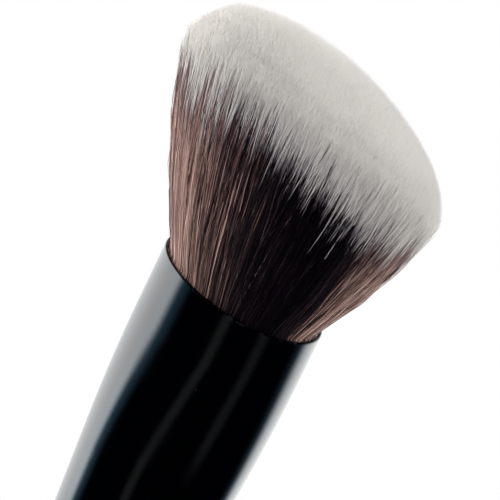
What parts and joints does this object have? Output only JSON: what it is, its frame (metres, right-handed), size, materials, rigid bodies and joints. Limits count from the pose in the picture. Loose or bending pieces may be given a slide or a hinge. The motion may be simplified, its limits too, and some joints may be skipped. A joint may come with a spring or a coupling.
{
  "type": "angled blush brush",
  "caption": "Angled blush brush: a dome of dark filaments with pale tips, cut on a slant, in a slanted black ferrule on a slim lacquered handle.",
  "frame": {"origin": "centre of the flat on the butt of the handle", "axes": "+Z along the handle towards the bristles, -X to the side of the long bristles, -Y out of the flat front of the head"},
  "size_m": [0.0311, 0.0195, 0.1727],
  "materials": {
    "handle_lacquer": "turned wood under gloss black lacquer",
    "ferrule_enamel": "gloss black enamel on drawn aluminium",
    "glue": "set glue, unfinished",
    "resin": "set resin, unfinished",
    "filament": "fine tapered filaments, brown-black to the last quarter, then off-white"
  },
  "bodies": {
    "root": {"handle": "handle_lacquer", "ferrule": "ferrule_enamel", "tenon_glue": "glue", "resin_plug": "resin", "bristle_tuft": "filament"}
  },
  "joints": []
}
